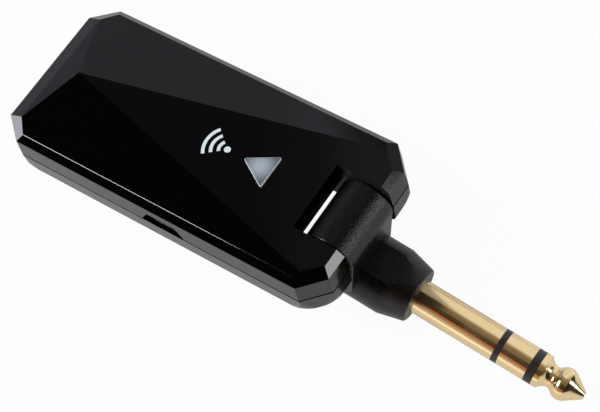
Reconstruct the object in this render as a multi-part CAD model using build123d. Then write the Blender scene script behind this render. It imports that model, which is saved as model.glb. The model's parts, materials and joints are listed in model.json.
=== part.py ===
from build123d import *
import math
import os

os.makedirs("parts", exist_ok=True)

# Wireless guitar transmitter: a faceted plastic case with a swivelling 6.35 mm jack plug.
# Millimetres. +X points from the far end to the hinge end, +Z to the button face, and the
# charging socket is in the -Y wall. The origin is the centre of the case's flat underside.

# ---------------------------------------------------------------- case
case_length = 70.6
case_width = 32.2
far_cut_length = 4.6            # corner cuts of the octagon, along X and along Y
far_cut_width = 4.0
hinge_cut_length = 4.1
hinge_cut_width = 4.3
base_height = 5.63              # underside to parting plane, which holds the hinge axis
upper_wall_height = 4.35        # parting plane to the foot of the top bevels
wall_draft = 2.5                # both covers narrow away from the parting plane
bottom_edge_radius = 2.0
wall = 1.3
floor = 1.3
groove_height = 0.4             # shadow line round the outside at the parting plane
groove_depth = 0.3
bottom_corner_radius = 5.5      # plan rounding of the lowest edge
bottom_bevel_angles = (25, 45, 65)
edge_round = 0.18               # moulded rounding of the outer edges

# Top bevels and facets: rise in Z for each millimetre inward.
side_bevel_slope = 0.98
far_end_bevel_slope = 0.51
far_corner_bevel_slope = 0.75
hinge_end_bevel_slope = 0.94
hinge_corner_bevel_slope = 0.70
apex_from_far_end = 8.1
apex_rise = 3.36                # above the foot of the bevels
end_facet_slope = 0.355
side_facet_slope = 0.142
main_facet_slope = 0.033

# ---------------------------------------------------------------- swivel elbow
hinge_from_end = 4.65           # hinge axis to the hinge end of the case
drum_radius = 5.05
drum_gap = 0.6                  # drum to the back wall of its slot
elbow_width = 12.88             # also the diameter of the boot
side_gap = 0.5                  # elbow to each side wall of the slot
neck_back = 4.85                # hinge axis to the flat back of the neck
stop_clearance = 0.3            # neck to the sloped stop wall at the end of its travel
plug_drop = 12.04               # hinge axis to plug axis
rest_tilt = 11.4                # plug axis below straight, as it lies
down_limit = 40.0               # furthest swing down from straight, on the sloped wall
boot_cylinder_end = 9.95        # all measured from the hinge axis along the plug
boot_end = 15.0
boot_end_radius = 5.18
boot_flat = 5.6                 # plug axis to the flat that clears the case when folded
boot_edge_round = 0.45
elbow_edge_round = 0.3
elbow_wall = 1.4

# ---------------------------------------------------------------- plug, 6.35 mm, three contacts
plug_radius = 3.175
sleeve_length = 16.4            # exposed, from the boot to the rear insulator
rear_insulator_length = 1.2
ring_length = 5.35
front_insulator_length = 1.55
sleeve_seat_radius = 3.0        # the part of the sleeve inside the boot
tip_length = 8.95
tip_collar_length = 1.0
tip_waist_at = 2.9
tip_waist_radius = 2.05
tip_bulge_at = 5.2
tip_bulge_radius = 3.05
tip_shoulder_length = 0.75
tip_shoulder_drop = 0.22
tip_end_radius = 0.7
rod_radius = 0.95
inner_tube_radius = 1.35
ring_tube_radius = 1.75
outer_tube_radius = 2.3
sleeve_flange_radius = 4.5
sleeve_flange_thickness = 1.2
lug_thickness = 0.4
lug_width = 1.5
lug_turn = 35
lug_step = 1.1                  # between one contact's rear end and the next
lead_radius = 0.25
lead_bend = 0.5
lead_spacing = 0.6
lead_lane_gap = 0.08
lead_rise = 1.8
lead_turn_gap = 1.2             # outer end of the pin to the rising leads
board_lead_inset = 0.8
lug_lead_overlap = 0.5
lug_lead_rise = 1.4
pin_lane = 0.65                 # between the leads inside the hollow pin
pin_lane_rise = 0.42

# ---------------------------------------------------------------- hinge hardware
pin_radius = 2.2
pin_bore_radius = 1.25
pin_in_drum = 3.0
running_clearance = 0.04
bush_radius = 2.9
bush_flange_radius = 3.2
bush_flange_thickness = 0.8
cheek = 1.5                     # side walls of the slot
washer_radius = 3.1
washer_thickness = 0.5
clip_radius = 2.9
clip_thickness = 0.5
clip_groove = 0.25
clip_mouth = 2.4
pin_overhang = 0.6

# ---------------------------------------------------------------- screws
boss_radius = 1.8
screw_radius = 0.8
screw_hole_radius = 0.95
screw_head_radius = 1.2
screw_head_height = 1.0
screw_recess_radius = 1.35
screw_seat = 1.9                # height of the seat above the underside
screw_length = 6.2
screw_tip_gap = 0.3
drive_size = 0.45
drive_depth = 0.5
far_screw_from_end = 7.2
hinge_screw_from_end = 11.0
screw_from_side = 3.5

# ---------------------------------------------------------------- circuit board and its parts
board_thickness = 1.0
board_to_slot = 4.7             # right end of the board to the back wall of the slot
board_length = 23.0
board_side_gap = 0.35
post_radius = 1.3
post_from_edge = 2.6
socket_from_board_end = 4.77
socket_width = 7.5
socket_height = 2.55
socket_depth = 5.6
socket_recess = 0.9             # mouth of the socket behind the outer wall face
socket_chamfer = 0.9
socket_shell = 0.3
tongue_width = 4.4
tongue_thickness = 0.65
tongue_length = 4.0
port_width = 9.0                # hole in the case wall: wide below, narrow above
port_top_width = 6.0
port_height = 2.95
port_side_height = 0.8
port_below = 0.2                # bottom of the hole below the board's top
shield_length = 10.5
shield_width = 10.5
shield_height = 1.8
shield_sheet = 0.25
shield_from_board_end = 7.0
shield_to_led = 1.45
antenna_size = (6.8, 2.0, 1.0)
antenna_shift = 1.6
antenna_from_side = 2.2
connector_size = (3.6, 4.6, 2.3)
charger_size = (3.0, 3.0, 0.8)
connector_shift = 2.4
connector_to_shield = 0.95
led_size = (1.6, 1.6, 0.8)
led_shift = 3.9
processor_shift = 5.25
converter_shift = 2.2
chip_row = 6.8
charger_shift = 6.0
charger_to_socket = 1.1
crystal_row = 2.6
capacitor_size = (0.9, 1.8, 0.9)
capacitor_step = 1.8
capacitor_row = 5.6

# ---------------------------------------------------------------- button
button_from_hinge = 16.9        # centroid of the triangle to the hinge axis
button_side = 7.0
button_corner = 0.35
button_gap = 0.22
button_proud = 0.12
button_round = 0.2
button_flange = 0.8
button_flange_thickness = 0.7
button_under_gap = 0.12         # flange to the underside of the cover
stem_radius = 1.4
switch_size = 5.2
switch_height = 3.2
plunger_radius = 1.1
plunger_gap = 0.1
plunger_height = 0.6            # out of the switch
plunger_seat = 0.5              # into the switch
button_travel = 0.3
travel_reserve = 0.1

# ---------------------------------------------------------------- battery
cell_to_board = 2.0
cell_width = 20.0
cell_height = 6.2
cell_to_far_wall = 2.1
cell_round = 1.2
cell_lead_drop = 0.6            # top of the cell to its leads
connector_lead_height = 1.2     # board to the leads in the connector
pad_thickness = 0.5

# ---------------------------------------------------------------- derived places
half_length = case_length / 2
half_width = case_width / 2
rim_height = base_height + upper_wall_height
hinge_x = half_length - hinge_from_end
hinge_z = base_height
draft_lean = math.tan(math.radians(wall_draft))
parting_step = upper_wall_height * draft_lean
slot_width = elbow_width + 2 * side_gap
slot_back = hinge_x - drum_radius - drum_gap
boot_radius = elbow_width / 2
board_top = base_height
board_bottom = board_top - board_thickness
insulator_start = boot_end + sleeve_length
ring_start = insulator_start + rear_insulator_length
front_insulator_start = ring_start + ring_length
tip_start = front_insulator_start + front_insulator_length
tip_end = tip_start + tip_length
tall = case_length


# Each wall of the octagon: outward direction, a point on it, and the slope of its top bevel.
def octagon_walls():
    walls = [
        ((-1, 0), (-half_length, 0), far_end_bevel_slope),
        ((1, 0), (half_length, 0), hinge_end_bevel_slope),
    ]
    for side in (-1, 1):
        walls.append(((0, side), (0, side * half_width), side_bevel_slope))
        walls.append(((-far_cut_width, side * far_cut_length),
                      (-half_length, side * (half_width - far_cut_width)), far_corner_bevel_slope))
        walls.append(((hinge_cut_width, side * hinge_cut_length),
                      (half_length, side * (half_width - hinge_cut_width)),
                      hinge_corner_bevel_slope))
    return walls


def trimmed(block, origin, normal, inset):
    """What is left of a block behind a plane moved inward by an inset."""
    plane = Plane(origin=Vector(*origin) - Vector(*normal).normalized() * inset, z_dir=normal)
    return split(block, bisect_by=plane, keep=Keep.BOTTOM)


def faceted_block(inset):
    """The case's upper envelope from the parting plane up, every face moved inward by an inset."""
    apex = (apex_from_far_end - half_length, 0, rim_height + apex_rise)
    block = Pos(0, 0, base_height) * Box(2 * case_length, 2 * case_width, tall,
                                         align=(Align.CENTER, Align.CENTER, Align.MIN))
    for outward, point, slope in octagon_walls():
        direction = Vector(*outward).normalized()
        block = trimmed(block, (*point, rim_height), (direction.X, direction.Y, draft_lean), inset)
        block = trimmed(block, (*point, rim_height), (slope * direction.X, slope * direction.Y, 1),
                        inset)
    block = trimmed(block, apex, (-end_facet_slope, 0, 1), inset)
    block = trimmed(block, apex, (main_facet_slope, 0, 1), inset)
    for side in (-1, 1):
        block = trimmed(block, apex, (0, side * side_facet_slope, 1), inset)
    return block


def octagon(inset):
    """The case's outline as a face, drawn inward by an inset."""
    corners = []
    for x_side, cut_length, cut_width in ((-1, far_cut_length, far_cut_width),
                                          (1, hinge_cut_length, hinge_cut_width)):
        ends = [(x_side * half_length, half_width - cut_width),
                (x_side * (half_length - cut_length), half_width)]
        if x_side > 0:
            ends.reverse()
        corners += ends
    corners += [(x, -y) for x, y in reversed(corners)]
    face = make_face(Polyline(*corners, close=True))
    return offset(face, amount=-inset, kind=Kind.INTERSECTION) if inset else face


def lower_envelope():
    """The bottom cover's outside: a bevelled lower edge whose corners are rounded in plan."""
    foot = octagon(base_height * draft_lean - parting_step)
    block = loft([foot, Pos(0, 0, base_height) * octagon(-parting_step)], ruled=True)
    for angle in bottom_bevel_angles:
        lean = math.tan(math.radians(angle))
        touch_inset = bottom_edge_radius * (1 - math.cos(math.radians(angle)))
        touch_height = bottom_edge_radius * (1 - math.sin(math.radians(angle)))
        low_inset = touch_inset + touch_height * lean
        rise = base_height + wall
        low = octagon(low_inset)
        low = fillet(low.vertices(), bottom_corner_radius)
        high = offset(low, amount=rise * lean)
        block &= loft([low, Pos(0, 0, rise) * high], ruled=True)
    return block


def lower_cavity():
    """The room inside the bottom cover, rounded along its floor."""
    room = Pos(0, 0, floor) * extrude(octagon(wall), base_height - floor)
    return fillet(room.edges().group_by(Axis.Z)[0], floor)


def slot_block(grow):
    """The hinge slot, with the back wall sloped below so that the neck can swing down."""
    angle = math.radians(down_limit)
    reach = neck_back + stop_clearance
    wall_point = (hinge_x - reach * math.cos(angle), hinge_z + reach * math.sin(angle))

    def slope_x(height):
        return wall_point[0] - (wall_point[1] - height) * math.tan(angle)

    slope_top = wall_point[1] - (wall_point[0] - slot_back) / math.tan(angle)
    low = -case_width
    profile = Polyline((slot_back, tall), (slot_back, slope_top), (slope_x(low), low),
                       (case_length, low), (case_length, tall), close=True)
    face = make_face(Plane.XZ * profile)
    if grow:
        face = offset(face, amount=grow, kind=Kind.INTERSECTION)
    return extrude(face, slot_width / 2 + grow, both=True)


def parting_groove():
    """The shallow shadow groove round the case, half in each cover."""
    ring = extrude(octagon(-wall), groove_height) - extrude(
        octagon(groove_depth - parting_step), groove_height)
    return Pos(0, 0, base_height - groove_height / 2) * ring


screw_places = [
    (sign_x * (half_length - distance), side * (half_width - screw_from_side))
    for sign_x, distance in ((-1, far_screw_from_end), (1, hinge_screw_from_end))
    for side in (-1, 1)
]


def y_cylinder(radius, y_from, y_to):
    """A cylinder about the hinge axis of the case."""
    length = y_to - y_from
    return Pos(hinge_x, y_from + length / 2, hinge_z) * Rot(90, 0, 0) * Cylinder(radius, length)


def rounded_triangle(side, corner):
    """The button's outline: an equilateral triangle pointing away from the hinge."""
    height = side * math.sqrt(3) / 2
    points = [(-2 * height / 3, 0), (height / 3, side / 2), (height / 3, -side / 2)]
    face = make_face(Polyline(*points, close=True))
    return fillet(face.vertices(), corner)


button_x = hinge_x - button_from_hinge
surface_at_button = rim_height + apex_rise - main_facet_slope * (
    button_x + half_length - apex_from_far_end)
cover_underside = surface_at_button - wall
board_right = slot_back - board_to_slot
board_left = board_right - board_length
socket_x = board_left + socket_from_board_end


def tapered_profile(width, top_width, height, side_height):
    """An upright outline, wide below, with its upper corners cut."""
    points = [(-width / 2, 0), (width / 2, 0), (width / 2, side_height), (top_width / 2, height),
              (-top_width / 2, height), (-width / 2, side_height)]
    return make_face(Plane.XZ * Polyline(*points, close=True))


def port_opening():
    """The hole in the near wall that a charging plug passes."""
    outline = tapered_profile(port_width, port_top_width, port_height, port_side_height)
    return Pos(socket_x, -half_width, board_top - port_below) * extrude(outline, 4 * wall, both=True)


# ---------------------------------------------------------------- case shells
def top_cover():
    shell = faceted_block(0)
    shell = fillet(shell.edges().filter_by(lambda e: e.center().Z > base_height + 0.1), edge_round)
    cavity = faceted_block(wall) - slot_block(cheek)
    shell -= cavity
    bosses = [Pos(x, y, base_height) * Cylinder(boss_radius, tall, align=(
        Align.CENTER, Align.CENTER, Align.MIN)) for x, y in screw_places]
    shell += faceted_block(wall / 2) & Compound(bosses)
    shell -= slot_block(0)
    shell -= y_cylinder(bush_radius, -half_width + wall + cheek, half_width - wall - cheek)
    pilot = screw_seat + screw_length + screw_tip_gap - base_height
    for x, y in screw_places:
        shell -= Pos(x, y, base_height) * Cylinder(screw_radius, pilot, align=(
            Align.CENTER, Align.CENTER, Align.MIN))
    opening = rounded_triangle(button_side + 2 * button_gap * math.sqrt(3), button_corner)
    shell -= Pos(button_x, 0, cover_underside - wall) * extrude(opening, 4 * wall)
    return shell - port_opening() - parting_groove()


def bottom_cover():
    shell = lower_envelope() - (lower_cavity() - slot_block(cheek))
    boss_height = base_height - floor
    for x, y in screw_places:
        boss = Pos(x, y, floor) * Cylinder(boss_radius, boss_height, align=(
            Align.CENTER, Align.CENTER, Align.MIN))
        shell += boss
    for x, y in board_posts():
        shell += Pos(x, y, floor) * Cylinder(post_radius, board_bottom - floor, align=(
            Align.CENTER, Align.CENTER, Align.MIN))
    shell -= slot_block(0)
    shell -= y_cylinder(bush_radius, -half_width + wall + cheek, half_width - wall - cheek)
    for x, y in screw_places:
        shell -= Pos(x, y, 0) * Cylinder(screw_hole_radius, tall)
        shell -= Pos(x, y, 0) * Cylinder(screw_recess_radius, 2 * screw_seat)
    return shell - port_opening() - parting_groove()


def case_screws():
    screws = []
    for x, y in screw_places:
        head = Cylinder(screw_head_radius, screw_head_height,
                        align=(Align.CENTER, Align.CENTER, Align.MAX))
        head = fillet(head.edges().group_by(Axis.Z)[0], screw_head_height / 4)
        for turn in (0, 90):
            head -= Pos(0, 0, -screw_head_height) * Rot(0, 0, turn) * Box(
                1.4 * screw_head_radius, drive_size, 2 * drive_depth)
        shank = Cylinder(screw_radius, screw_length, align=(Align.CENTER, Align.CENTER, Align.MIN))
        screws.append(Pos(x, y, screw_seat) * (head + shank))
    return Compound(screws)


# ---------------------------------------------------------------- circuit board
board_half_width = half_width - wall - board_side_gap


def board_posts():
    return [(x, side * (board_half_width - post_from_edge))
            for x in (board_left + post_from_edge, board_right - post_from_edge)
            for side in (-1, 1)]


def on_board(x, y, size):
    """A box that stands on the board, given its centre and its size."""
    return Pos(x, y, board_top) * Box(*size, align=(Align.CENTER, Align.CENTER, Align.MIN))


def main_circuit_board():
    board = Pos(board_left, 0, board_bottom) * Box(
        board_length, 2 * board_half_width, board_thickness,
        align=(Align.MIN, Align.CENTER, Align.MIN))
    return fillet(board.edges().filter_by(Axis.Z), 1.0)


socket_mouth_y = -half_width + socket_recess
socket_inner_y = socket_mouth_y + socket_depth


def socket_block(inset, depth):
    """The socket's outline drawn inward by an inset, from its mouth back to a depth."""
    top_width = socket_width - 2 * socket_chamfer
    outline = tapered_profile(socket_width - 2 * inset, top_width - inset,
                              socket_height - 2 * inset,
                              socket_height - socket_chamfer - 2 * inset)
    return Pos(0, depth, 0) * extrude(outline, depth)


def charging_socket_shell():
    outer = socket_block(0, socket_depth)
    inner = Pos(0, 0, socket_shell) * socket_block(socket_shell, socket_depth - socket_shell)
    return Pos(socket_x, socket_mouth_y, board_top) * (outer - inner)


def charging_socket_tongue():
    return Pos(socket_x, socket_inner_y - socket_shell, board_top + socket_height / 2) * Box(
        tongue_width, tongue_length, tongue_thickness,
        align=(Align.CENTER, Align.MAX, Align.CENTER))


shield_x = board_left + shield_from_board_end
shield_y = led_size[1] / 2 + shield_to_led + shield_width / 2


def rf_shield_can():
    can = on_board(shield_x, shield_y, (shield_length, shield_width, shield_height))
    inside = (shield_length - 2 * shield_sheet, shield_width - 2 * shield_sheet,
              shield_height - shield_sheet)
    return can - on_board(shield_x, shield_y, inside)


charger_y = socket_inner_y + charger_to_socket + charger_size[1] / 2
connector_y = shield_y - shield_width / 2 - connector_to_shield - connector_size[1] / 2
chips = {
    "radio_chip": (shield_x, shield_y, (5.0, 5.0, 0.9)),
    "microcontroller": (button_x - processor_shift, -chip_row, (5.0, 5.0, 0.9)),
    "audio_converter": (button_x + converter_shift, -chip_row, (4.0, 4.0, 0.9)),
    "charge_controller": (board_left + charger_shift, charger_y, charger_size),
    "crystal_oscillator": (button_x - processor_shift, -crystal_row, (3.2, 2.5, 0.7)),
    "chip_antenna": (button_x + antenna_shift, board_half_width - antenna_from_side, antenna_size),
    "battery_connector": (board_left + connector_shift, connector_y, connector_size),
    "status_led": (button_x - led_shift, 0, led_size),
}


def capacitors():
    first_x = button_x - antenna_shift
    return Compound([on_board(first_x + capacitor_step * index, capacitor_row, capacitor_size)
                     for index in range(4)])


# ---------------------------------------------------------------- button and its switch
def button_cap():
    flange_top = cover_underside - button_under_gap
    flange_bottom = flange_top - button_flange_thickness
    cap = extrude(rounded_triangle(button_side, button_corner), tall)
    cap = Pos(0, 0, flange_bottom) * cap
    normal = (main_facet_slope, 0, 1)
    cap = trimmed(cap, (0, 0, surface_at_button + button_proud), normal, 0)
    cap = fillet(cap.faces().sort_by(Axis.Z)[-1].edges(), button_round)
    wide = rounded_triangle(button_side + 2 * button_flange * math.sqrt(3), button_corner)
    cap += Pos(0, 0, flange_bottom) * extrude(wide, button_flange_thickness)
    stem_bottom = board_top + switch_height + plunger_height
    cap += Pos(0, 0, stem_bottom) * Cylinder(stem_radius, flange_bottom - stem_bottom, align=(
        Align.CENTER, Align.CENTER, Align.MIN))
    return Pos(button_x, 0, 0) * cap


def switch_body():
    body = on_board(button_x, 0, (switch_size, switch_size, switch_height))
    body = fillet(body.edges().filter_by(Axis.Z), 0.3)
    depth = plunger_seat + button_travel + travel_reserve
    hole = Cylinder(plunger_radius + plunger_gap, depth, align=(
        Align.CENTER, Align.CENTER, Align.MAX))
    return body - Pos(button_x, 0, board_top + switch_height) * hole


def switch_plunger():
    return Pos(button_x, 0, board_top + switch_height - plunger_seat) * Cylinder(
        plunger_radius, plunger_seat + plunger_height, align=(
            Align.CENTER, Align.CENTER, Align.MIN))


# ---------------------------------------------------------------- battery
cell_left = wall + cell_to_far_wall - half_length
cell_length = board_left - cell_to_board - cell_left
cell_centre_x = cell_left + cell_length / 2


def battery_cell():
    cell = Pos(cell_centre_x, 0, floor + pad_thickness) * Box(
        cell_length, cell_width, cell_height, align=(Align.CENTER, Align.CENTER, Align.MIN))
    return fillet(cell.edges().filter_by(Axis.X), cell_round)


def battery_pad():
    return Pos(cell_centre_x, 0, floor) * Box(
        cell_length - 4 * cell_round, cell_width - 4 * cell_round, pad_thickness,
        align=(Align.CENTER, Align.CENTER, Align.MIN))


def wire(points, bend):
    """A round wire along straight runs joined by tangent arcs."""
    path = FilletPolyline(*points, radius=bend)
    section = Plane(origin=path @ 0, z_dir=path % 0) * Circle(lead_radius)
    return sweep(section, path=path)


def battery_leads():
    end_x = board_left + connector_shift - connector_size[0] / 2
    start_x = cell_centre_x + cell_length / 2
    wires = []
    for shift in (-0.8, 0.8):
        y = connector_y + shift
        middle = (start_x + end_x) / 2
        cell_lead_z = floor + pad_thickness + cell_height - cell_lead_drop
        connector_lead_z = board_top + connector_lead_height
        wires.append(wire([(start_x, y, cell_lead_z), (middle, y, cell_lead_z),
                           (middle, y, connector_lead_z), (end_x, y, connector_lead_z)],
                          lead_bend))
    return Compound(wires)


# ---------------------------------------------------------------- hinge hardware in the case
slot_half = slot_width / 2
bush_inner_end = slot_half
flange_start = slot_half + cheek
washer_start = flange_start + bush_flange_thickness
clip_start = washer_start + washer_thickness
pin_end = clip_start + clip_thickness + pin_overhang


def both_ways(side, y_from, y_to):
    """Order a pair of distances from the middle for one side of the hinge."""
    return (y_from, y_to) if side > 0 else (-y_to, -y_from)


def hinge_bush(side):
    bush = y_cylinder(bush_radius, *both_ways(side, bush_inner_end, flange_start))
    bush += y_cylinder(bush_flange_radius, *both_ways(side, flange_start, washer_start))
    return bush - y_cylinder(pin_radius + running_clearance, -half_width, half_width)


def friction_washer(side):
    washer = y_cylinder(washer_radius, *both_ways(side, washer_start, clip_start))
    return washer - y_cylinder(pin_radius + running_clearance, -half_width, half_width)


def tilted(part):
    """Swing a piece of the elbow to its rest angle about the hinge axis."""
    return Pos(hinge_x, 0, hinge_z) * Rot(0, rest_tilt, 0) * Pos(-hinge_x, 0, -hinge_z) * part


def hinge_pin(side):
    pin = y_cylinder(pin_radius, *both_ways(side, elbow_width / 2 - pin_in_drum, pin_end))
    pin -= y_cylinder(pin_radius, *both_ways(side, clip_start, clip_start + clip_thickness))
    pin += y_cylinder(pin_radius - clip_groove, *both_ways(side, clip_start,
                                                           clip_start + clip_thickness))
    return pin - y_cylinder(pin_bore_radius, -half_width, half_width)


def pin_clip(side):
    span = both_ways(side, clip_start, clip_start + clip_thickness)
    clip = y_cylinder(clip_radius, *span) - y_cylinder(pin_radius - clip_groove, *span)
    mouth = Pos(hinge_x, sum(span) / 2, hinge_z) * Box(
        clip_mouth, 2 * clip_thickness, tall, align=(Align.CENTER, Align.CENTER, Align.MIN))
    return tilted(clip - mouth)


# ---------------------------------------------------------------- swivel elbow, drawn straight
def elbow(part):
    """Place a piece drawn about the hinge axis at the origin, with the plug along +X."""
    return Pos(hinge_x, 0, hinge_z) * Rot(0, rest_tilt, 0) * part


def x_cylinder(radius, x_from, x_to):
    """A cylinder about the plug axis."""
    length = x_to - x_from
    return Pos(x_from + length / 2, 0, -plug_drop) * Rot(0, 90, 0) * Cylinder(radius, length)


def neck_block(half_thick_back, half_thick_front, half, top):
    """A slab about the plug axis, round below, from its back face to its front face."""
    slab = Pos(-half_thick_back, 0, -plug_drop) * Box(
        half_thick_back + half_thick_front, 2 * half, plug_drop + top,
        align=(Align.MIN, Align.CENTER, Align.MIN))
    return slab + x_cylinder(half, -half_thick_back, half_thick_front)


neck_room = boot_radius - elbow_wall
lug_reach = neck_room - 0.3
room_top = -(drum_radius + 0.6)
front_wall_inner = drum_radius - elbow_wall
back_cover_inner = neck_back - elbow_wall


def swivel_housing():
    drum = Rot(90, 0, 0) * Cylinder(drum_radius, elbow_width)
    body = drum + neck_block(neck_back, drum_radius, boot_radius, 0)
    body = fillet(body.faces().filter_by(Plane.XZ).edges(), elbow_edge_round)
    boot = x_cylinder(boot_radius, 0, boot_cylinder_end)
    cone_length = boot_end - boot_cylinder_end
    cone = Pos(boot_cylinder_end + cone_length / 2, 0, -plug_drop) * Rot(0, 90, 0) * Cone(
        boot_radius, boot_end_radius, cone_length)
    cone = fillet(cone.edges().group_by(Axis.X)[-1], boot_edge_round)
    boot += cone
    boot -= Pos(0, 0, boot_flat - plug_drop) * Box(
        2 * boot_end, elbow_width, elbow_width, align=(Align.CENTER, Align.CENTER, Align.MIN))
    body += boot
    body -= neck_block(neck_back, front_wall_inner, neck_room, room_top)
    body -= x_cylinder(sleeve_seat_radius, 0, 2 * boot_end)
    channel_half = elbow_width / 2 - pin_in_drum
    body -= Pos(0, 0, -plug_drop) * Box(
        2 * pin_radius, 2 * channel_half, plug_drop + pin_radius,
        align=(Align.CENTER, Align.CENTER, Align.MIN))
    body -= Rot(90, 0, 0) * Cylinder(pin_radius, 2 * elbow_width)
    return elbow(body)


def swivel_back_cover():
    plate = neck_block(neck_back, -back_cover_inner, neck_room - 0.05, room_top - 0.05)
    return elbow(plate)


def plug_sleeve():
    sleeve = x_cylinder(plug_radius, boot_end, insulator_start)
    sleeve += x_cylinder(sleeve_seat_radius, front_wall_inner, boot_end)
    sleeve += x_cylinder(sleeve_flange_radius, front_wall_inner - sleeve_flange_thickness,
                         front_wall_inner)
    return elbow(sleeve - x_cylinder(outer_tube_radius, -boot_end, tip_end))


sleeve_rear = front_wall_inner - sleeve_flange_thickness


def rear_insulator():
    tube = x_cylinder(outer_tube_radius, sleeve_rear - lug_step, insulator_start)
    tube += x_cylinder(plug_radius, insulator_start, ring_start)
    return elbow(tube - x_cylinder(ring_tube_radius, -boot_end, tip_end))


def plug_ring():
    ring = x_cylinder(ring_tube_radius, sleeve_rear - 2 * lug_step, ring_start)
    ring += x_cylinder(plug_radius, ring_start, front_insulator_start)
    return elbow(ring - x_cylinder(inner_tube_radius, -boot_end, tip_end))


def front_insulator():
    tube = x_cylinder(inner_tube_radius, sleeve_rear - 3 * lug_step, front_insulator_start)
    tube += x_cylinder(plug_radius, front_insulator_start, tip_start)
    return elbow(tube - x_cylinder(rod_radius, -boot_end, tip_end))


def plug_tip():
    collar = tip_start + tip_collar_length
    waist = tip_start + tip_waist_at
    bulge = tip_start + tip_bulge_at
    outline = Polyline((sleeve_rear - 4 * lug_step, 0), (sleeve_rear - 4 * lug_step, rod_radius),
                       (tip_start, rod_radius), (tip_start, plug_radius), (collar, plug_radius))
    to_waist = Spline((collar, plug_radius), (waist, tip_waist_radius), (bulge, tip_bulge_radius),
                      tangents=((0.55, -0.83), (1, -0.05)))
    nose = Polyline((bulge, tip_bulge_radius), (bulge + tip_shoulder_length, tip_bulge_radius - tip_shoulder_drop),
                    (tip_end, tip_end_radius), (tip_end, 0), (sleeve_rear - 4 * lug_step, 0))
    face = make_face(Plane.XZ * (outline + to_waist + nose))
    return elbow(Pos(0, 0, -plug_drop) * revolve(face, Axis.X))


def solder_lug(step, hole_radius, turn):
    """A washer with a tab, behind one of the three contacts."""
    start = sleeve_rear - step * lug_step - lug_thickness
    lug = x_cylinder(hole_radius + 0.7, start, start + lug_thickness)
    tab = Pos(start, 0, -plug_drop) * Rot(turn, 0, 0) * Box(
        lug_thickness, lug_width, lug_reach, align=(Align.MIN, Align.CENTER, Align.MIN))
    return elbow(lug + tab - x_cylinder(hole_radius, -boot_end, tip_end))


# For each lead: which lug it starts from, that lug's turn, and its lane in the hollow pin.
lead_routes = ((0, 0, 1, -1), (1, lug_turn, 0, 1), (3, -lug_turn, -1, -1))


def plug_leads():
    wires = []
    reach = lug_reach - lug_lead_overlap
    for step, turn, lane, level in lead_routes:
        x = sleeve_rear - step * lug_step - lug_thickness - lead_radius
        y = -reach * math.sin(math.radians(turn))
        z = reach * math.cos(math.radians(turn)) - plug_drop
        pin_x = lane * pin_lane
        pin_z = level * pin_lane_rise
        wires.append(wire([(x, y, z), (x, y, z + lug_lead_rise), (pin_x, y / 2, -drum_radius / 2),
                           (pin_x, y / 2, pin_z), (pin_x, -pin_end, pin_z)], lead_bend))
    return elbow(Compound(wires))


def board_leads():
    """Three leads stacked in one lane, round the screw boss and down to the board."""
    wires = []
    boss_right = half_length - hinge_screw_from_end + boss_radius
    gap_x = (boss_right + hinge_x - bush_flange_radius) / 2
    lane_y = -(slot_half + cheek + lead_lane_gap + lead_radius)
    turn_y = -pin_end - lead_turn_gap
    for index in range(3):
        shift = lead_spacing * (index - 1)
        x = hinge_x + shift
        low = hinge_z + shift
        high = low + lead_rise
        end_x = board_right - board_lead_inset - lead_spacing * index
        wires.append(wire([(x, -pin_end - lead_lane_gap, low), (x, turn_y, low),
                           (x, turn_y, high), (gap_x, turn_y, high), (gap_x, lane_y, high),
                           (end_x, lane_y, high), (end_x, lane_y, board_top)], lead_bend))
    return Compound(wires)


# ---------------------------------------------------------------- the parts, in assembly order
pieces = {
    "bottom_cover": bottom_cover(),
    "battery_pad": battery_pad(),
    "battery_cell": battery_cell(),
    "main_circuit_board": main_circuit_board(),
    "charging_socket_shell": charging_socket_shell(),
    "charging_socket_tongue": charging_socket_tongue(),
    "rf_shield_can": rf_shield_can(),
    "capacitors": capacitors(),
    "battery_leads": battery_leads(),
    "switch_body": switch_body(),
    "switch_plunger": switch_plunger(),
    "button_cap": button_cap(),
    "top_cover": top_cover(),
    "case_screws": case_screws(),
    "swivel_housing": swivel_housing(),
    "swivel_back_cover": swivel_back_cover(),
    "plug_sleeve": plug_sleeve(),
    "rear_insulator": rear_insulator(),
    "plug_ring": plug_ring(),
    "front_insulator": front_insulator(),
    "plug_tip": plug_tip(),
    "sleeve_lug": solder_lug(0, outer_tube_radius, 0),
    "ring_lug": solder_lug(1, ring_tube_radius, lug_turn),
    "tip_lug": solder_lug(3, rod_radius, -lug_turn),
    "plug_leads": plug_leads(),
    "board_leads": board_leads(),
}
for name, (x, y, size) in chips.items():
    pieces[name] = on_board(x, y, size)
for side, label in ((-1, "near"), (1, "far")):
    pieces["hinge_bush_" + label] = hinge_bush(side)
    pieces["friction_washer_" + label] = friction_washer(side)
    pieces["hinge_pin_" + label] = tilted(hinge_pin(side))
    pieces["pin_clip_" + label] = pin_clip(side)

for name, piece in pieces.items():
    export_step(piece, "parts/" + name + ".step")
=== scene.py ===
import json
import math

import bmesh
import bpy
from mathutils import Matrix, Vector


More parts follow.
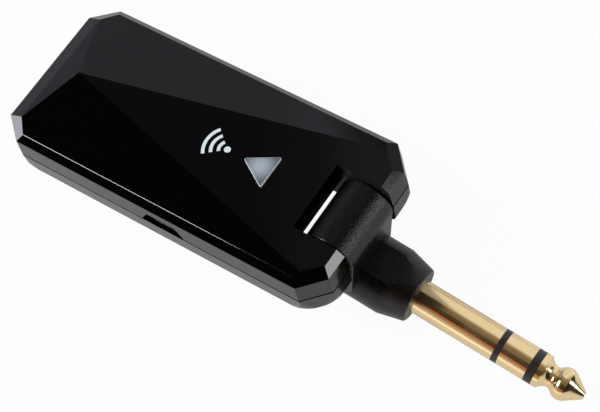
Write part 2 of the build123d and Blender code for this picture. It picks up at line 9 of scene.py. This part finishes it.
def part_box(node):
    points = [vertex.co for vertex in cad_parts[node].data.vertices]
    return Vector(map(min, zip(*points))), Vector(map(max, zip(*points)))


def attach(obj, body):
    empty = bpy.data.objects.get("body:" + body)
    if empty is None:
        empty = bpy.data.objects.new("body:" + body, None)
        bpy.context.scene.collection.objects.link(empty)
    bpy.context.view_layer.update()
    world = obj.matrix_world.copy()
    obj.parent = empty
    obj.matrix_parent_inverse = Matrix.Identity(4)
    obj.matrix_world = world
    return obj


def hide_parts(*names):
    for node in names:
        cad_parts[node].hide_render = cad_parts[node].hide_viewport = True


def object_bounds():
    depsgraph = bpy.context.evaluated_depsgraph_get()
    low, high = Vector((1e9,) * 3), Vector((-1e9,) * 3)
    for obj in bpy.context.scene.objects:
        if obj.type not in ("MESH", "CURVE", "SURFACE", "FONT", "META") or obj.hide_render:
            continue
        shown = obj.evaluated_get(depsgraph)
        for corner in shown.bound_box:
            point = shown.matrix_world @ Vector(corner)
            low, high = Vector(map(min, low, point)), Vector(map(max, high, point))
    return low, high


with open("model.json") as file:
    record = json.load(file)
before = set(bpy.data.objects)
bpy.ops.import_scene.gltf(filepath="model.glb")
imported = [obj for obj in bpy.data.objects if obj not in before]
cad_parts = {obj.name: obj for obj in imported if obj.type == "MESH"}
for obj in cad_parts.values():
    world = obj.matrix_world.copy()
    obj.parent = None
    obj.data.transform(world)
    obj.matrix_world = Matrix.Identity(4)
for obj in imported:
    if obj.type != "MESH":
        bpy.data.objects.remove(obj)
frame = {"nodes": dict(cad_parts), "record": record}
cad_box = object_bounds()


# ---------------------------------------------------------------- camera and studio
# The part lies on a plain white table under soft boxes. The camera looks down on the button
# face from the socket's side, over the hinge end.
joints = {joint["name"]: joint for joint in frame["record"]["behaviour"]["joints"]}
hinge = Vector(joints["plug_hinge"]["pos_m"])
aim = hinge + Vector((-0.01063, 0, -0.00187))
view_turn = math.radians(51.26)
view_rise = math.radians(58.31)
view_roll = math.radians(-19.78)
view_distance = 0.3215

back = Vector((math.sin(view_turn) * math.cos(view_rise),
               -math.cos(view_turn) * math.cos(view_rise), math.sin(view_rise)))
level_right = Vector((math.cos(view_turn), math.sin(view_turn), 0))
level_up = back.cross(level_right)
right = level_right * math.cos(view_roll) + level_up * math.sin(view_roll)
up = level_up * math.cos(view_roll) - level_right * math.sin(view_roll)
camera_data = bpy.data.cameras.new("camera")
camera_data.sensor_width = 36
camera_data.lens = 110.112
camera_data.clip_start = 0.02
camera = bpy.data.objects.new("camera", camera_data)
bpy.context.collection.objects.link(camera)
turn = Matrix((right, up, back)).transposed().to_4x4()
camera.matrix_world = Matrix.Translation(aim + back * view_distance) @ turn
bpy.context.scene.camera = camera
bpy.context.scene.view_settings.view_transform = "Standard"


def new_material(name):
    """An empty node material: itself, its Principled shader and a maker of linked nodes."""
    made = bpy.data.materials.new(name)
    made.use_nodes = True
    tree = made.node_tree

    def add(kind, inputs=(), **settings):
        node = tree.nodes.new(kind)
        for key, value in settings.items():
            setattr(node, key, value)
        for key, value in dict(inputs).items():
            if isinstance(value, bpy.types.NodeSocket):
                tree.links.new(value, node.inputs[key])
            else:
                node.inputs[key].default_value = value
        return node

    return made, tree.nodes["Principled BSDF"], add


def mesh_object(name, shape):
    """Turn a finished bmesh into an object of the scene."""
    data = bpy.data.meshes.new(name)
    shape.to_mesh(data)
    shape.free()
    made = bpy.data.objects.new(name, data)
    bpy.context.collection.objects.link(made)
    return made


def white_share(add, for_eye, for_gloss):
    """How much of a surface is plain white where the eye sees it, and where a gloss does."""
    rays = add("ShaderNodeLightPath")
    gloss = add("ShaderNodeMath", {0: rays.outputs["Is Glossy Ray"],
                                   1: rays.outputs["Is Transmission Ray"]}, operation="MAXIMUM")
    eye = add("ShaderNodeMath", {0: rays.outputs["Is Camera Ray"], 1: for_eye},
              operation="MULTIPLY")
    return add("ShaderNodeMath", {0: gloss.outputs[0], 1: for_gloss, 2: eye.outputs[0]},
               operation="MULTIPLY_ADD").outputs[0]


floor_half = 3.0
shape = bmesh.new()
bmesh.ops.create_grid(shape, x_segments=1, y_segments=1, size=floor_half)
bmesh.ops.translate(shape, verts=shape.verts, vec=(0, 0, cad_box[0].z))
table_top = mesh_object("table_top", shape)
paper, shader, add = new_material("white_paper")
paper.node_tree.nodes.remove(shader)
matt = add("ShaderNodeBsdfDiffuse", {"Color": (0.5, 0.5, 0.5, 1)})
white = add("ShaderNodeEmission", {"Color": (1, 1, 1, 1), "Strength": 1.0})
blend = add("ShaderNodeMixShader", {0: white_share(add, for_eye=0.96, for_gloss=0.2),
                                    1: matt.outputs[0], 2: white.outputs[0]})
paper.node_tree.links.new(blend.outputs[0],
                          paper.node_tree.nodes["Material Output"].inputs["Surface"])
table_top.data.materials.append(paper)

# The room lights the case evenly, its gloss mirrors a dimmer room, and the camera sees a plain
# pale backdrop past the table.
world = bpy.data.worlds.new("studio")
bpy.context.scene.world = world
world.use_nodes = True
sky = world.node_tree
room = sky.nodes["Background"]
room.inputs["Color"].default_value = (0.94, 0.96, 1, 1)
room.inputs["Strength"].default_value = 0.55
dim_room = sky.nodes.new("ShaderNodeBackground")
dim_room.inputs["Color"].default_value = (0.9, 0.9, 1, 1)
dim_room.inputs["Strength"].default_value = 0.015
backdrop = sky.nodes.new("ShaderNodeBackground")
path = sky.nodes.new("ShaderNodeLightPath")
glossy_mix = sky.nodes.new("ShaderNodeMixShader")
camera_mix = sky.nodes.new("ShaderNodeMixShader")
sky.links.new(path.outputs["Is Glossy Ray"], glossy_mix.inputs[0])
sky.links.new(room.outputs[0], glossy_mix.inputs[1])
sky.links.new(dim_room.outputs[0], glossy_mix.inputs[2])
sky.links.new(path.outputs["Is Camera Ray"], camera_mix.inputs[0])
sky.links.new(glossy_mix.outputs[0], camera_mix.inputs[1])
sky.links.new(backdrop.outputs[0], camera_mix.inputs[2])
sky.links.new(camera_mix.outputs[0], sky.nodes["World Output"].inputs["Surface"])


def lamp_panel(name, centre, away, across, width, height, glow, colour):
    """A rectangular lamp that looks evenly bright and faces what lies behind it."""
    lamp = bpy.data.lights.new(name, "AREA")
    lamp.shape = "RECTANGLE"
    lamp.size = width
    lamp.size_y = height
    lamp.energy = glow * math.pi * width * height
    lamp.color = colour
    stand = bpy.data.objects.new(name, lamp)
    bpy.context.collection.objects.link(stand)
    stand.visible_camera = False
    stand.matrix_world = (Matrix.Translation(centre)
                          @ Matrix((across, away.cross(across), away)).transposed().to_4x4())


lamp_distance = 1.0
plain_white = (1, 1, 1)


def soft_box(name, azimuths, elevations, glow, colour=plain_white):
    """A lamp round the case, by the degrees that it fills and how bright it looks."""
    a, e = (math.radians(sum(ends) / 2) for ends in (azimuths, elevations))
    half_across, half_up = (math.radians(ends[1] - ends[0]) / 2 for ends in (azimuths, elevations))
    away = Vector((math.cos(a) * math.cos(e), math.sin(a) * math.cos(e), math.sin(e)))
    lamp_panel(name, away * lamp_distance, away, Vector((-math.sin(a), math.cos(a), 0)),
               2 * lamp_distance * math.tan(half_across) * math.cos(e),
               2 * lamp_distance * math.tan(half_up), glow, colour)


cool_white = (0.91, 0.88, 1.0)
soft_box("far_soft_box", (125.5, 173), (27, 52), 0.43, cool_white)
soft_box("low_soft_box", (97, 173), (-1, 27), 0.38, cool_white)
soft_box("turned_soft_box", (97, 125.5), (27, 66), 0.16, cool_white)
soft_box("upper_soft_box", (125.5, 136.5), (52, 68), 0.09, cool_white)
soft_box("faint_soft_box", (136.5, 152), (52, 68), 0.06, cool_white)
soft_box("side_soft_box", (57, 97), (0, 76), 0.3)
# A bright lamp, turned so that the eased near edge of the top mirrors it as one fine line.
strip_way = Vector((-0.515, -0.49, 0.7)).normalized()
strip_run = Vector((0, 0.819, 0.573))
strip_width = 0.22
strip_length = 0.5
lamp_panel("near_soft_box", strip_way * lamp_distance, strip_way, strip_run.cross(strip_way),
           strip_width, strip_length, 30.0, plain_white)
soft_box("end_soft_box", (12.5, 22), (2, 31), 7.5, (0.93, 0.96, 1.0))
soft_box("corner_soft_box", (186, 202), (2, 19), 5.2, (0.9, 0.95, 1.0))


card_distance = 0.03
card_length = 0.046


def plug_card(name, around, glow, colour=plain_white):
    """A lit card beside the plug, by the degrees round the plug that it fills."""
    turn_round, half = (math.radians(angle) for angle in
                        (sum(around) / 2, (around[1] - around[0]) / 2))
    away = Vector((0, -1, 0)) * math.cos(turn_round) + plug_up * math.sin(turn_round)
    lamp_panel(name, plug_middle + away * card_distance, away, plug_axis, card_length,
               2 * card_distance * math.tan(half), glow, colour)


sleeve_low, sleeve_high = (Vector(corner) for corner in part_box("plug_sleeve"))
tip_low, tip_high = (Vector(corner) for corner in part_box("plug_tip"))
plug_axis = ((tip_low + tip_high) / 2 - (sleeve_low + sleeve_high) / 2).normalized()
plug_up = plug_axis.cross(Vector((0, 1, 0)))
plug_half_length = 0.0165
plug_middle = Vector((tip_high.x, 0, tip_low.z)) - plug_axis * plug_half_length
plug_card("far_card", (110, 182), 0.56)
plug_card("upper_card", (88, 110), 0.26, (1, 0.9, 0.7))
plug_card("top_card", (64, 88), 0.19, (1, 0.78, 0.48))
plug_card("dim_card", (40, 64), 0.05, (1, 0.7, 0.35))
plug_card("warm_card", (19, 32), 0.5, (1, 0.35, 0.15))
plug_card("near_card", (-20, 17), 0.5, (1, 0.93, 0.85))


# ---------------------------------------------------------------- bottom cover
# Lower half of the case, injection moulded in black ABS with a polished tool, so that its
# walls mirror the table. Four posts inside carry the circuit board.
def polished_case_material():
    made, shader, add = new_material("polished_black_case")
    place = add("ShaderNodeTexCoord").outputs["Object"]
    flow = add("ShaderNodeTexNoise", {"Vector": place, "Scale": 90, "Detail": 2})
    dust = add("ShaderNodeTexNoise", {"Vector": place, "Scale": 900, "Detail": 4})
    haze = add("ShaderNodeMapRange", {"Value": dust.outputs["Fac"], "From Min": 0.3,
                                      "From Max": 0.7, "To Min": 0.07, "To Max": 0.11})
    tint = add("ShaderNodeMix", {"Factor": flow.outputs["Fac"]}, data_type="RGBA")
    tint.inputs["A"].default_value = (0.0001, 0.0001, 0.0002, 1)
    tint.inputs["B"].default_value = (0.0003, 0.0003, 0.0005, 1)
    ripple = add("ShaderNodeBump", {"Height": flow.outputs["Fac"], "Strength": 0.004,
                                    "Distance": 0.001})
    made.node_tree.links.new(tint.outputs["Result"], shader.inputs["Base Color"])
    made.node_tree.links.new(haze.outputs["Result"], shader.inputs["Roughness"])
    made.node_tree.links.new(ripple.outputs["Normal"], shader.inputs["Normal"])
    shader.inputs["IOR"].default_value = 1.52
    return made


merge_distance = 1e-6
flat_bend = math.radians(0.4)       # less than this is one flat face
facet_bend = math.radians(2.5)      # more than this between two large faces is a crisp line
corner_bend = 0.35                  # more than this is a corner, less is a ridge between facets
large_face = 12e-6
faces_up = 0.85


def moulded_copy(node, name, body, sharp_degrees=32, facet_area=large_face, worn_edge=0.0,
                 soft_ridge=0.0):
    """The CAD node's shape as one merged piece, its edges eased as a moulding's are."""
    shape = bmesh.new()
    shape.from_mesh(frame["nodes"][node].data)
    bmesh.ops.remove_doubles(shape, verts=shape.verts, dist=merge_distance)
    if worn_edge:
        bmesh.ops.dissolve_limit(shape, angle_limit=flat_bend, verts=shape.verts,
                                 edges=shape.edges, use_dissolve_boundaries=False)
        convex = [edge for edge in shape.edges if len(edge.link_faces) == 2 and edge.is_convex]
        ridges = [edge for edge in convex
                  if soft_ridge and edge.calc_face_angle_signed() < corner_bend
                  and min(face.calc_area() for face in edge.link_faces) > facet_area
                  and min(face.normal.z for face in edge.link_faces) > faces_up]
        shortest = 6 * worn_edge
        corners = [edge for edge in convex if edge.calc_length() > shortest
                   and edge.calc_face_angle() > corner_bend]
        for edges, offset, steps in ((ridges, soft_ridge, 4), (corners, worn_edge, 3)):
            edges = [edge for edge in edges if edge.is_valid]
            if edges:
                bmesh.ops.bevel(shape, geom=edges, offset=offset, offset_type="OFFSET",
                                segments=steps, profile=0.5, affect="EDGES",
                                clamp_overlap=True, material=-1)
        bmesh.ops.triangulate(shape, faces=[face for face in shape.faces
                                            if len(face.verts) > 4])
    for face in shape.faces:
        face.smooth = True
    limit = math.radians(sharp_degrees)
    for edge in shape.edges:
        if len(edge.link_faces) != 2:
            continue
        bend = edge.calc_face_angle()
        facets = bend > facet_bend and min(f.calc_area() for f in edge.link_faces) > facet_area
        if bend > limit or facets:
            edge.smooth = False
    made = mesh_object(name, shape)
    weigh = made.modifiers.new("flat_faces_stay_flat", "WEIGHTED_NORMAL")
    weigh.keep_sharp = True
    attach(made, body)
    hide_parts(node)
    return made


case_black = polished_case_material()
bottom_shell = moulded_copy("bottom_cover", "bottom_shell", "case",
                            worn_edge=0.0001)
bottom_shell.data.materials.append(case_black)


# ---------------------------------------------------------------- battery, its pad and leads
# A flat lithium pouch in silver laminate, stuck down with foam tape. Two thin red leads run
# from it to a white connector on the circuit board.
def grained_material(name, dark, light, grain, roughness, metallic=0.0, relief=0.2,
                     relief_depth=0.00002, stretch=(1, 1, 1)):
    """A finish that varies between two colours with a grain of so many millimetres."""
    made, shader, add = new_material(name)
    place = add("ShaderNodeTexCoord").outputs["Object"]
    along = add("ShaderNodeMapping", {"Vector": place})
    along.inputs["Scale"].default_value = stretch
    fine = add("ShaderNodeTexNoise", {"Vector": along.outputs["Vector"], "Scale": 1000 / grain,
                                      "Detail": 3})
    broad = add("ShaderNodeTexNoise", {"Vector": along.outputs["Vector"], "Scale": 120 / grain,
                                       "Detail": 2})
    blotch = add("ShaderNodeMath", {0: fine.outputs["Fac"], 1: broad.outputs["Fac"]},
                 operation="MULTIPLY")
    spread = add("ShaderNodeMapRange", {"Value": blotch.outputs[0], "From Min": 0.15,
                                        "From Max": 0.38})
    tint = add("ShaderNodeMix", {"Factor": spread.outputs["Result"]}, data_type="RGBA")
    tint.inputs["A"].default_value = (*dark, 1)
    tint.inputs["B"].default_value = (*light, 1)
    polish = add("ShaderNodeMapRange", {"Value": fine.outputs["Fac"], "From Min": 0.3,
                                        "From Max": 0.7, "To Min": roughness[0],
                                        "To Max": roughness[1]})
    bump = add("ShaderNodeBump", {"Height": fine.outputs["Fac"], "Strength": relief,
                                  "Distance": relief_depth})
    made.node_tree.links.new(tint.outputs["Result"], shader.inputs["Base Color"])
    made.node_tree.links.new(polish.outputs["Result"], shader.inputs["Roughness"])
    made.node_tree.links.new(bump.outputs["Normal"], shader.inputs["Normal"])
    shader.inputs["Metallic"].default_value = metallic
    return made


def dress(material, *nodes):
    """Give CAD nodes whose shape stays their finish."""
    for node in nodes:
        for place in frame["nodes"][node].material_slots:
            place.material = material


dress(grained_material("grey_foam_tape", (0.03, 0.03, 0.03), (0.09, 0.09, 0.09), 0.12, (0.8, 0.95),
                       relief=0.8), "battery_pad")
dress(grained_material("pouch_laminate", (0.52, 0.53, 0.56), (0.72, 0.73, 0.75), 0.5, (0.22, 0.4),
                       metallic=1.0, relief=0.35), "battery_cell")
dress(grained_material("red_lead_skin", (0.42, 0.02, 0.015), (0.6, 0.04, 0.03), 0.3, (0.35, 0.5)),
      "battery_leads", "plug_leads", "board_leads")
white_nylon = grained_material("white_nylon", (0.62, 0.6, 0.55), (0.8, 0.78, 0.72), 0.2,
                               (0.35, 0.5))
dress(white_nylon, "battery_connector")


# ---------------------------------------------------------------- circuit board and its parts
# A green glass-epoxy board on the four posts, with tracks under the solder mask. It carries the
# radio under its tinned can, the processors, the crystal, the antenna and the capacitors.
def solder_mask_material():
    made, shader, add = new_material("green_solder_mask")
    place = add("ShaderNodeTexCoord").outputs["Object"]
    tracks = add("ShaderNodeTexBrick", {"Vector": place, "Scale": 900, "Mortar Size": 0.06,
                                        "Brick Width": 0.9, "Row Height": 0.35,
                                        "Color1": (0.012, 0.11, 0.045, 1),
                                        "Color2": (0.016, 0.14, 0.055, 1),
                                        "Mortar": (0.05, 0.26, 0.1, 1)})
    weave = add("ShaderNodeTexNoise", {"Vector": place, "Scale": 3000})
    raised = add("ShaderNodeBump", {"Height": tracks.outputs["Fac"], "Strength": 0.4,
                                    "Distance": 0.00003})
    sheen = add("ShaderNodeMapRange", {"Value": weave.outputs["Fac"], "To Min": 0.2, "To Max": 0.4})
    made.node_tree.links.new(tracks.outputs["Color"], shader.inputs["Base Color"])
    made.node_tree.links.new(sheen.outputs["Result"], shader.inputs["Roughness"])
    made.node_tree.links.new(raised.outputs["Normal"], shader.inputs["Normal"])
    return made


dress(solder_mask_material(), "main_circuit_board")
dress(grained_material("moulded_epoxy", (0.012, 0.012, 0.013), (0.03, 0.03, 0.032), 0.08,
                       (0.5, 0.65), relief=0.4), "radio_chip", "microcontroller",
      "audio_converter", "charge_controller")
bright_tin = grained_material("bright_tin", (0.55, 0.55, 0.54), (0.74, 0.73, 0.7), 0.5, (0.16, 0.3),
                              metallic=1.0)
dress(bright_tin, "rf_shield_can", "crystal_oscillator")
dress(grained_material("fired_ceramic", (0.42, 0.33, 0.22), (0.62, 0.53, 0.38), 0.2, (0.4, 0.6)),
      "chip_antenna", "capacitors")
dress(grained_material("led_phosphor_lens", (0.7, 0.66, 0.4), (0.86, 0.84, 0.7), 0.3,
                       (0.08, 0.18)), "status_led")


# ---------------------------------------------------------------- charging socket
# A folded steel shell with a black tongue inside, soldered to the board's edge behind the
# port in the near wall.
dress(grained_material("dull_steel", (0.1, 0.1, 0.1), (0.2, 0.2, 0.2), 0.3, (0.35, 0.5),
                       metallic=1.0), "charging_socket_shell")
black_nylon = grained_material("black_nylon", (0.003, 0.003, 0.003), (0.009, 0.009, 0.009), 0.12,
                               (0.3, 0.45), relief=0.2)
dress(black_nylon, "charging_socket_tongue")


# ---------------------------------------------------------------- button
# A small tact switch stands on the board. The triangular cap over it is smoked acrylic. A painted
# glow makes its middle pale, and a painted highlight makes its eased edge pale.
def smoked_acrylic_material(centre, reach):
    made, shader, add = new_material("smoked_acrylic")
    place = add("ShaderNodeTexCoord").outputs["Object"]
    middle = add("ShaderNodeMapping", {"Vector": place})
    middle.inputs["Location"].default_value = -centre / reach
    middle.inputs["Scale"].default_value = (1 / reach, 1 / reach, 1 / reach)
    # Painted glow: the colour runs from the darker tint at the corners to the paler tint in the
    # cap's middle.
    glow = add("ShaderNodeTexGradient", {"Vector": middle.outputs["Vector"]},
               gradient_type="SPHERICAL")
    frost = add("ShaderNodeTexNoise", {"Vector": place, "Scale": 1500, "Detail": 2})
    shade = add("ShaderNodeMapRange", {"Value": glow.outputs["Fac"], "From Min": 0.0,
                                       "From Max": 0.9}, interpolation_type="SMOOTHSTEP")
    tint = add("ShaderNodeMix", {"Factor": shade.outputs["Result"]}, data_type="RGBA")
    tint.inputs["A"].default_value = (0.075, 0.088, 0.098, 1)
    tint.inputs["B"].default_value = (0.27, 0.31, 0.345, 1)
    polish = add("ShaderNodeMapRange", {"Value": frost.outputs["Fac"], "To Min": 0.1,
                                        "To Max": 0.2})
    # Painted highlight: faces that tilt away from level are mixed towards pale grey, standing in
    # for light on the eased edge.
    facing = add("ShaderNodeSeparateXYZ", {0: add("ShaderNodeNewGeometry").outputs["Normal"]})
    edge = add("ShaderNodeMapRange", {"Value": facing.outputs["Z"], "From Min": 0.6,
                                      "From Max": 0.95, "To Min": 1.0, "To Max": 0.0})
    painted_edge_highlight = add("ShaderNodeMix", {"Factor": edge.outputs["Result"]}, data_type="RGBA")
    painted_edge_highlight.inputs["B"].default_value = (0.66, 0.71, 0.73, 1)
    made.node_tree.links.new(tint.outputs["Result"], painted_edge_highlight.inputs["A"])
    made.node_tree.links.new(painted_edge_highlight.outputs["Result"], shader.inputs["Base Color"])
    made.node_tree.links.new(polish.outputs["Result"], shader.inputs["Roughness"])
    shader.inputs["IOR"].default_value = 1.49
    return made


dress(black_nylon, "switch_body")
dress(white_nylon, "switch_plunger")
button_low, button_high = (Vector(corner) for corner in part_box("button_cap"))
# Where the painted glow in the cap's middle is centred, and how far it reaches.
painted_glow_centre = Vector(((button_low.x + button_high.x) / 2, 0, button_high.z))
painted_glow_centre.x += (button_high.x - button_low.x) / 10        # nearer to the triangle's base
painted_glow_reach = 0.0036
button = moulded_copy("button_cap", "button", "button", worn_edge=0.0002)
button.data.materials.append(smoked_acrylic_material(painted_glow_centre, painted_glow_reach))


# ---------------------------------------------------------------- top cover
# Upper half of the case, moulded in the same polished black ABS. Its top is cut in four large
# facets that meet at one point near the far end. The pictogram is printed on the main facet, and
# the sides of the hinge slot keep the matt finish of a spark-eroded tool.
top_shell = moulded_copy("top_cover", "top_shell", "case", worn_edge=0.00024,
                         soft_ridge=0.0012)
top_shell.data.materials.append(case_black)

slot_black = grained_material("matt_black_slot", (0.0015, 0.0015, 0.002),
                              (0.004, 0.004, 0.005), 0.1, (0.55, 0.7), relief=0.5)
swivel_low, swivel_high = (Vector(corner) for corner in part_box("swivel_housing"))
slot_half_width = swivel_high.y + 0.001
slot_start = swivel_low.x - 0.0008
sideways = 0.9
for shell in (bottom_shell, top_shell):
    shell.data.materials.append(slot_black)
    for face in shell.data.polygons:
        in_slot = abs(face.center.y) < slot_half_width and face.center.x > slot_start
        if in_slot and abs(face.normal.y) > sideways:
            face.material_index = 1

ink, shader, add = new_material("pale_grey_ink")
place = add("ShaderNodeTexCoord").outputs["Object"]
mottle = add("ShaderNodeTexNoise", {"Vector": place, "Scale": 4000, "Detail": 3})
tint = add("ShaderNodeMix", {"Factor": mottle.outputs["Fac"]}, data_type="RGBA")
tint.inputs["A"].default_value = (0.4, 0.46, 0.48, 1)
tint.inputs["B"].default_value = (0.62, 0.68, 0.7, 1)
ink.node_tree.links.new(tint.outputs["Result"], shader.inputs["Base Color"])
shader.inputs["Roughness"].default_value = 0.55

ink_thickness = 0.00001
arc_radii = (0.0016, 0.0030, 0.0044)
arc_width = 0.00062
arc_spread = math.radians(78)
arc_steps = 24
dot_radius = 0.00062
dot_centre = Vector((0.00632, 0, 0))
nearly_level = 0.998
main_facet = max((face for face in frame["nodes"]["top_cover"].data.polygons
                  if face.normal.z > nearly_level and face.center.z > hinge.z),
                 key=lambda face: face.area)
facet_normal = main_facet.normal.copy()
facet_point = frame["nodes"]["top_cover"].data.vertices[main_facet.vertices[0]].co.copy()
dot_centre.z = facet_point.z - ((dot_centre.x - facet_point.x) * facet_normal.x
                                - facet_point.y * facet_normal.y) / facet_normal.z
shape = bmesh.new()
bmesh.ops.create_circle(shape, cap_ends=True, segments=arc_steps, radius=dot_radius)
for arc_radius in arc_radii:
    start = Vector((-math.cos(arc_spread / 2), -math.sin(arc_spread / 2), 0))
    rim = [shape.verts.new(start * (arc_radius + side * arc_width / 2)) for side in (-1, 1)]
    bmesh.ops.spin(shape, geom=rim + [shape.edges.new(rim)], cent=(0, 0, 0), axis=(0, 0, -1),
                   angle=arc_spread, steps=arc_steps, use_merge=False)
print_faces = list(shape.faces)
bmesh.ops.recalc_face_normals(shape, faces=print_faces)
raised = bmesh.ops.extrude_face_region(shape, geom=print_faces, use_keep_orig=True)
bmesh.ops.translate(shape, vec=(0, 0, ink_thickness),
                    verts=[item for item in raised["geom"] if isinstance(item, bmesh.types.BMVert)])
bmesh.ops.recalc_face_normals(shape, faces=shape.faces)
lengthways = Vector((1, 0, 0)) - facet_normal * facet_normal.x
lengthways.normalize()
lie = Matrix((lengthways, facet_normal.cross(lengthways), facet_normal)).transposed().to_4x4()
bmesh.ops.transform(shape, verts=shape.verts, matrix=Matrix.Translation(dot_centre) @ lie)
pictogram = mesh_object("printed_pictogram", shape)
pictogram.data.materials.append(ink)
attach(pictogram, "case")


# ---------------------------------------------------------------- case screws
# Four small self-tapping screws in recesses of the underside, black oxide on steel.
dress(grained_material("black_oxide", (0.012, 0.012, 0.012), (0.035, 0.035, 0.033), 0.15,
                       (0.3, 0.45), metallic=0.8), "case_screws")


# ---------------------------------------------------------------- hinge
# Two hollow steel pins are pressed into the drum and turn in acetal bushes held between the
# covers. A spring washer on each pin gives the friction, and a clip keeps it there.
dress(grained_material("white_acetal", (0.66, 0.65, 0.6), (0.83, 0.82, 0.78), 0.3, (0.3, 0.42)),
      "hinge_bush_near", "hinge_bush_far")
dress(grained_material("turned_steel", (0.42, 0.42, 0.43), (0.62, 0.62, 0.63), 0.1, (0.2, 0.34),
                       metallic=1.0, stretch=(1, 8, 1)), "hinge_pin_near", "hinge_pin_far")
dress(grained_material("spring_steel", (0.26, 0.26, 0.27), (0.46, 0.45, 0.44), 0.2, (0.25, 0.4),
                       metallic=1.0), "friction_washer_near", "friction_washer_far",
      "pin_clip_near", "pin_clip_far")


# ---------------------------------------------------------------- swivel
# Drum, neck and boot are one moulding in black glass-filled nylon with a fine grain. Its sparkle
# is painted: small lighter flecks in its colour stand in for glints.
# A cover of the same nylon closes the back of the neck, where the leads are soldered.
def sparkling_nylon_material():
    made, shader, add = new_material("sparkling_black_nylon")
    place = add("ShaderNodeTexCoord").outputs["Object"]
    grain = add("ShaderNodeTexNoise", {"Vector": place, "Scale": 4200, "Detail": 2})
    fleck = add("ShaderNodeTexVoronoi", {"Vector": place, "Scale": 5200}, feature="F1")
    # Painted glints: the flecks are lighter in the colour and stand in for the sparkle of the
    # grain.
    painted_glints = add("ShaderNodeMapRange", {"Value": fleck.outputs["Distance"], "From Min": 0.05,
                                       "From Max": 0.3, "To Min": 1.0, "To Max": 0.0})
    rough = add("ShaderNodeMapRange", {"Value": grain.outputs["Fac"], "From Min": 0.35,
                                       "From Max": 0.65, "To Min": 0.2, "To Max": 0.36})
    tint = add("ShaderNodeMix", {"Factor": painted_glints.outputs["Result"]}, data_type="RGBA")
    tint.inputs["A"].default_value = (0.0015, 0.0015, 0.0018, 1)
    tint.inputs["B"].default_value = (0.012, 0.012, 0.014, 1)
    bump = add("ShaderNodeBump", {"Height": grain.outputs["Fac"], "Strength": 1.0,
                                  "Distance": 0.00007})
    made.node_tree.links.new(tint.outputs["Result"], shader.inputs["Base Color"])
    made.node_tree.links.new(rough.outputs["Result"], shader.inputs["Roughness"])
    made.node_tree.links.new(bump.outputs["Normal"], shader.inputs["Normal"])
    shader.inputs["IOR"].default_value = 1.42
    return made


swivel_black = sparkling_nylon_material()
swivel_body = moulded_copy("swivel_housing", "swivel_body", "swivel",
                           sharp_degrees=28, worn_edge=0.00012)
swivel_body.data.materials.append(swivel_black)
dress(swivel_black, "swivel_back_cover")


# ---------------------------------------------------------------- jack plug
# Three brass contacts turned on a lathe and plated in pale gold, one inside the other, with
# black nylon rings between them. Their inner ends carry tinned lugs for the leads.
def turned_gold_material():
    made, shader, add = new_material("pale_gold_plate")
    place = add("ShaderNodeTexCoord").outputs["Object"]
    along = add("ShaderNodeMapping", {"Vector": place})
    along.inputs["Rotation"].default_value = (0, -math.atan2(-plug_axis.z, plug_axis.x), 0)
    along.inputs["Scale"].default_value = (12, 1, 1)
    turning = add("ShaderNodeTexNoise", {"Vector": along.outputs["Vector"], "Scale": 900,
                                         "Detail": 2})
    handled = add("ShaderNodeTexNoise", {"Vector": place, "Scale": 350, "Detail": 3})
    tint = add("ShaderNodeMix", {"Factor": handled.outputs["Fac"]}, data_type="RGBA")
    tint.inputs["A"].default_value = (0.86, 0.65, 0.34, 1)
    tint.inputs["B"].default_value = (0.94, 0.74, 0.43, 1)
    polish = add("ShaderNodeMapRange", {"Value": handled.outputs["Fac"], "From Min": 0.3,
                                        "From Max": 0.7, "To Min": 0.13, "To Max": 0.2})
    bump = add("ShaderNodeBump", {"Height": turning.outputs["Fac"], "Strength": 0.05,
                                  "Distance": 0.00002})
    made.node_tree.links.new(tint.outputs["Result"], shader.inputs["Base Color"])
    made.node_tree.links.new(polish.outputs["Result"], shader.inputs["Roughness"])
    made.node_tree.links.new(bump.outputs["Normal"], shader.inputs["Normal"])
    shader.inputs["Metallic"].default_value = 1.0
    return made


gold = turned_gold_material()
for node in ("plug_sleeve", "plug_ring", "plug_tip"):
    contact = moulded_copy(node, node.replace("plug", "gold"), "swivel",
                           sharp_degrees=30, facet_area=1)
    contact.data.materials.append(gold)
dress(black_nylon, "rear_insulator", "front_insulator")
dress(grained_material("tinned_brass", (0.55, 0.52, 0.45), (0.75, 0.72, 0.62), 0.2, (0.25, 0.4),
                       metallic=1.0), "sleeve_lug", "ring_lug", "tip_lug")
